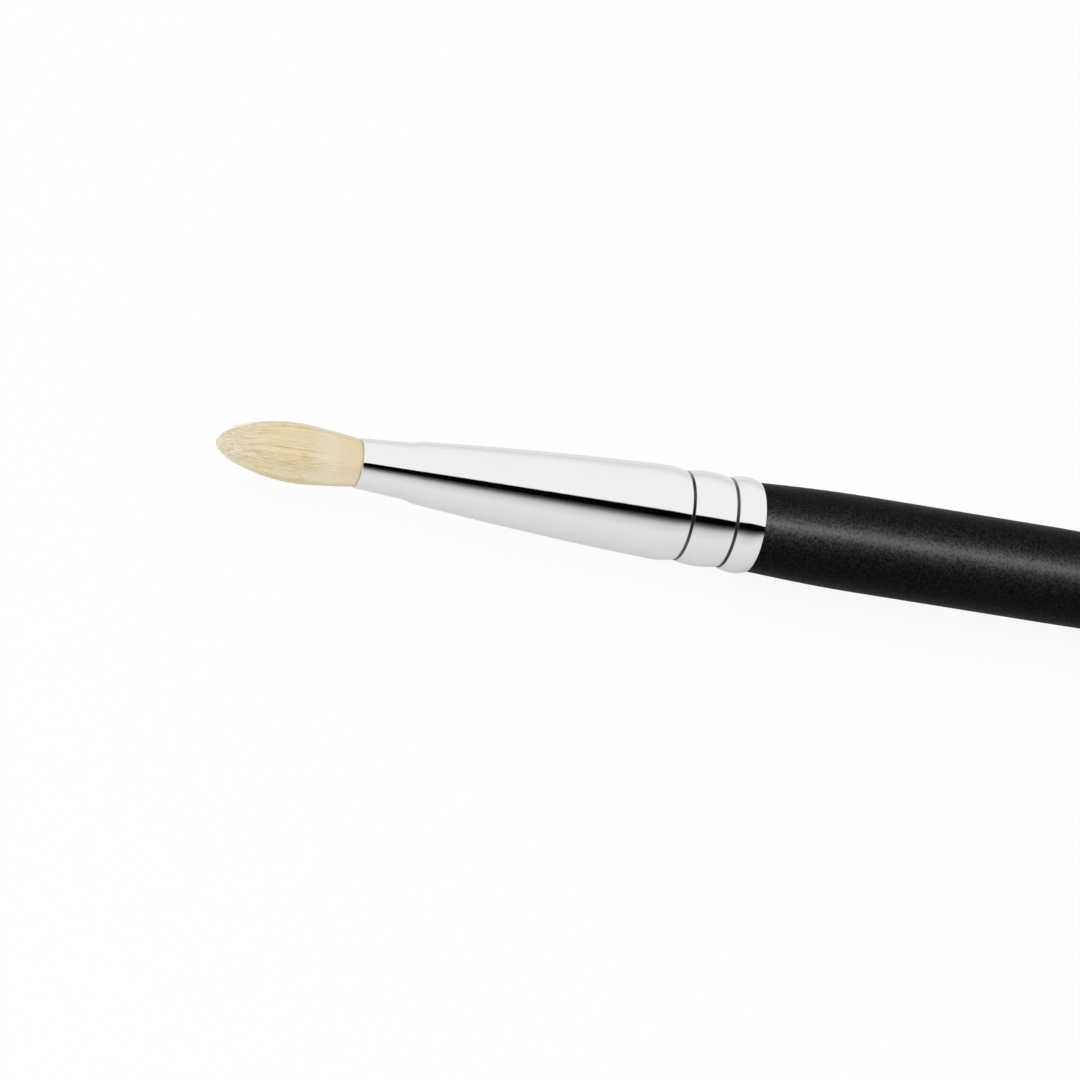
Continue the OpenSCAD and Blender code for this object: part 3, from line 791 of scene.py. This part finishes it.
glue, tree = finish_named("set_wood_glue")
where = add(tree, "ShaderNodeTexCoord").outputs["Object"]
smear = add(tree, NOISE, {"Vector": where, "Scale": to_metres(SMEAR), "Detail": 4.0})
tint = add(tree, MIX, [smear, linear("#d8c79a"), linear("#efe6c9")])
level = add(tree, "ShaderNodeBump", {"Strength": 0.4, "Distance": SMEAR_DEPTH, "Height": smear})
skin = add(tree, "ShaderNodeBsdfPrincipled", {"Base Color": tint, "Roughness": 0.45, "Normal": level})
add(tree, "ShaderNodeOutputMaterial", {"Surface": skin})
nodes["tenon_glue"].material_slots[0].material = glue
print("hidden finishes", resin.name, glue.name)

# %% [markdown]
# ## The binding thread
# The maker whips the hairs with waxed linen, three turns pulled tight in their
# waist. The thread is two plies twisted together. A plain tube would show no
# lay, so Geometry Nodes sweep an outline with two lobes along a spiral and tilt
# it steadily, and the lobes become plies.

# %% A thread wound from two plies
winding = bpy.data.node_groups.new("wind_thread", "GeometryNodeTree")
THREAD_INPUTS = {"Turns": "Float", "Wind radius": "Float", "Travel": "Float", "Thickness": "Float",
                 "Twist": "Float", "Start": "Vector", "Finish": "Material"}
SECTION_SIDES, PLIES = 16, 2
# The outline swings by this share of the thread's radius, out to a ply and in beside it
LOBE = 0.16
for name, kind in THREAD_INPUTS.items():
    winding.interface.new_socket(name, in_out="INPUT", socket_type="NodeSocket" + kind)
winding.interface.new_socket("Thread", in_out="OUTPUT", socket_type="NodeSocketGeometry")
given = add(winding, "NodeGroupInput").outputs
path = add(winding, "GeometryNodeCurveSpiral",
           {"Resolution": 150, "Rotations": given["Turns"], "Height": given["Travel"],
            "Start Radius": given["Wind radius"], "End Radius": given["Wind radius"]})
share = add(winding, "GeometryNodeSplineParameter").outputs["Factor"]
tilt = add(winding, MATH, [share, given["Twist"]], operation="MULTIPLY")
path = add(winding, "GeometryNodeSetCurveTilt", {"Curve": path, "Tilt": tilt})
section = add(winding, "GeometryNodeCurvePrimitiveCircle", {"Resolution": SECTION_SIDES, "Radius": 1.0})
index = add(winding, "GeometryNodeInputIndex")
lobes = add(winding, MATH, [index, PLIES * 2 * math.pi / SECTION_SIDES], operation="MULTIPLY")
lobes = add(winding, MATH, [lobes], operation="COSINE")
lobes = add(winding, MATH, [lobes, LOBE, 1 - LOBE], operation="MULTIPLY_ADD")
half = add(winding, MATH, [given["Thickness"], 0.5], operation="MULTIPLY")
lobes = add(winding, MATH, [lobes, half], operation="MULTIPLY")
here = add(winding, "GeometryNodeInputPosition")
here = add(winding, VECTOR_MATH, {0: here, "Scale": lobes}, operation="SCALE")
section = add(winding, "GeometryNodeSetPosition", {"Geometry": section, "Position": here})
flow = add(winding, "GeometryNodeCurveToMesh",
           {"Curve": path, "Profile Curve": section, "Fill Caps": True})
flow = add(winding, "GeometryNodeTransform",
           {"Geometry": flow, "Translation": given["Start"], "Rotation": (0, math.pi / 2, 0)})
flow = add(winding, "GeometryNodeSetShadeSmooth", {"Geometry": flow})
flow = add(winding, "GeometryNodeRealizeInstances", {"Geometry": flow})
flow = add(winding, "GeometryNodeSetMaterial", {"Geometry": flow, "Material": given["Finish"]})
add(winding, "NodeGroupOutput", [flow])
print("the winding takes", len(winding.nodes), "nodes")

# %% [markdown]
# Waxed linen is dull, with fibres that show as a fine change of tone and a faint
# sheen from their ends. The winding takes its radius and its travel from the
# packed thread's box, so that it lies in the same waist.

# %% Wind the thread
THREAD, TURNS = 0.32 * MM, 3
# The lay repeats every two thread diameters or so
LAY = 0.7 * MM
FIBRE, FIBRE_DEPTH = 0.05, 0.02 * MM
thread_finish, tree = finish_named("waxed_linen_thread")
where = add(tree, "ShaderNodeTexCoord").outputs["Object"]
fibres = add(tree, NOISE, {"Vector": where, "Scale": to_metres(FIBRE), "Detail": 3.0})
tint = add(tree, MIX, [fibres, linear("#cfc3a4"), linear("#f2ead6")])
level = add(tree, "ShaderNodeBump", {"Strength": 0.5, "Distance": FIBRE_DEPTH, "Height": fibres})
skin = add(tree, "ShaderNodeBsdfPrincipled",
           {"Base Color": tint, "Roughness": 0.55, "Normal": level, "Sheen Weight": 0.2})
add(tree, "ShaderNodeOutputMaterial", {"Surface": skin})

thread_low, thread_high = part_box("binding_thread")
wind_radius = (thread_high[2] - thread_low[2]) / 2 - THREAD / 2
travel = thread_high[0] - thread_low[0] - THREAD
run = math.hypot(2 * math.pi * wind_radius * TURNS, travel)
thread = grow("wound_binding", winding, Turns=float(TURNS), Wind_radius=wind_radius, Travel=travel,
              Thickness=THREAD, Twist=2 * math.pi * run / LAY / PLIES,
              Start=Vector((thread_low[0] + THREAD / 2, 0, axis_z)), Finish=thread_finish)
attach(thread, "root")
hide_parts("binding_thread")
print("thread", round(run / MM, 1), "mm long, wound at", round(wind_radius / MM, 3), "mm")

# %% [markdown]
# ## Colours as written
# The colours are shown as they were written. The dressed brush has to fill the
# same box as the imported model.

# %% Finish
scene.view_settings.view_transform = "Standard"
